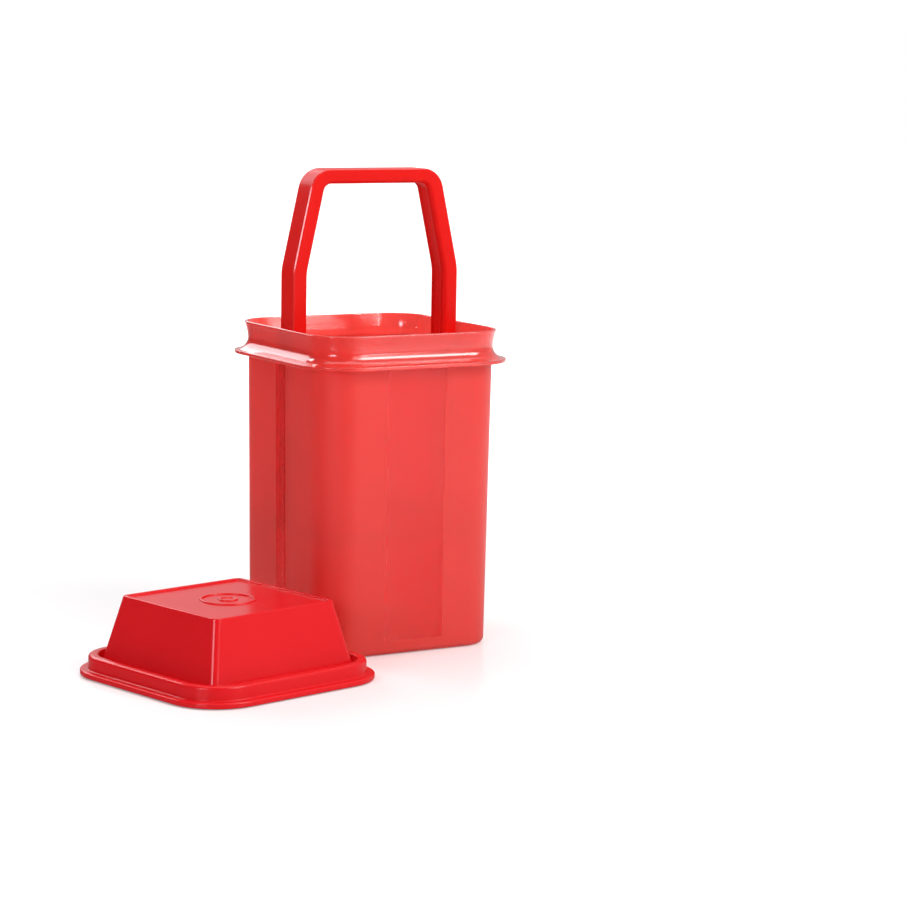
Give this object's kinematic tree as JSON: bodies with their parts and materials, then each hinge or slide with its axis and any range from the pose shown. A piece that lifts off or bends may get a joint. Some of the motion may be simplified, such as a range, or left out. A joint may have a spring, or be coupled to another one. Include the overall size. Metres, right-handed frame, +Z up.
{
  "type": "pickle keeper with lift strainer",
  "caption": "Square food keeper with a flared lip, a perforated strainer tray on a tall bail handle that lifts straight up, and a domed press-on cover lying beside it.",
  "frame": {"origin": "middle of the container's flat underside, which rests on the table", "axes": "+Z up, along the strainer's lift; +X across the handle from leg to leg; -Y the front, the side where the cover lies"},
  "size_m": [0.2328, 0.1798, 0.2462],
  "materials": {
    "container_body": "frosted, with polished see-through bands",
    "tray": "satin",
    "handle": "gloss",
    "cover": "soft gloss"
  },
  "bodies": {
    "container": {"container": "container_body"},
    "strainer": {"strainer_tray": "tray", "lift_handle": "handle"},
    "cover": {"cover": "cover"}
  },
  "joints": [
    {"name": "strainer_lift", "type": "slide", "parent": "container", "child": "strainer", "axis": [0, 0, 1], "range_m": [-0.054, 0.12]},
    {"name": "cover_lift", "type": "slide", "parent": "container", "child": "cover", "axis": [-0.155, -0.078, 0.9848], "range_m": [0, 0.2]}
  ]
}
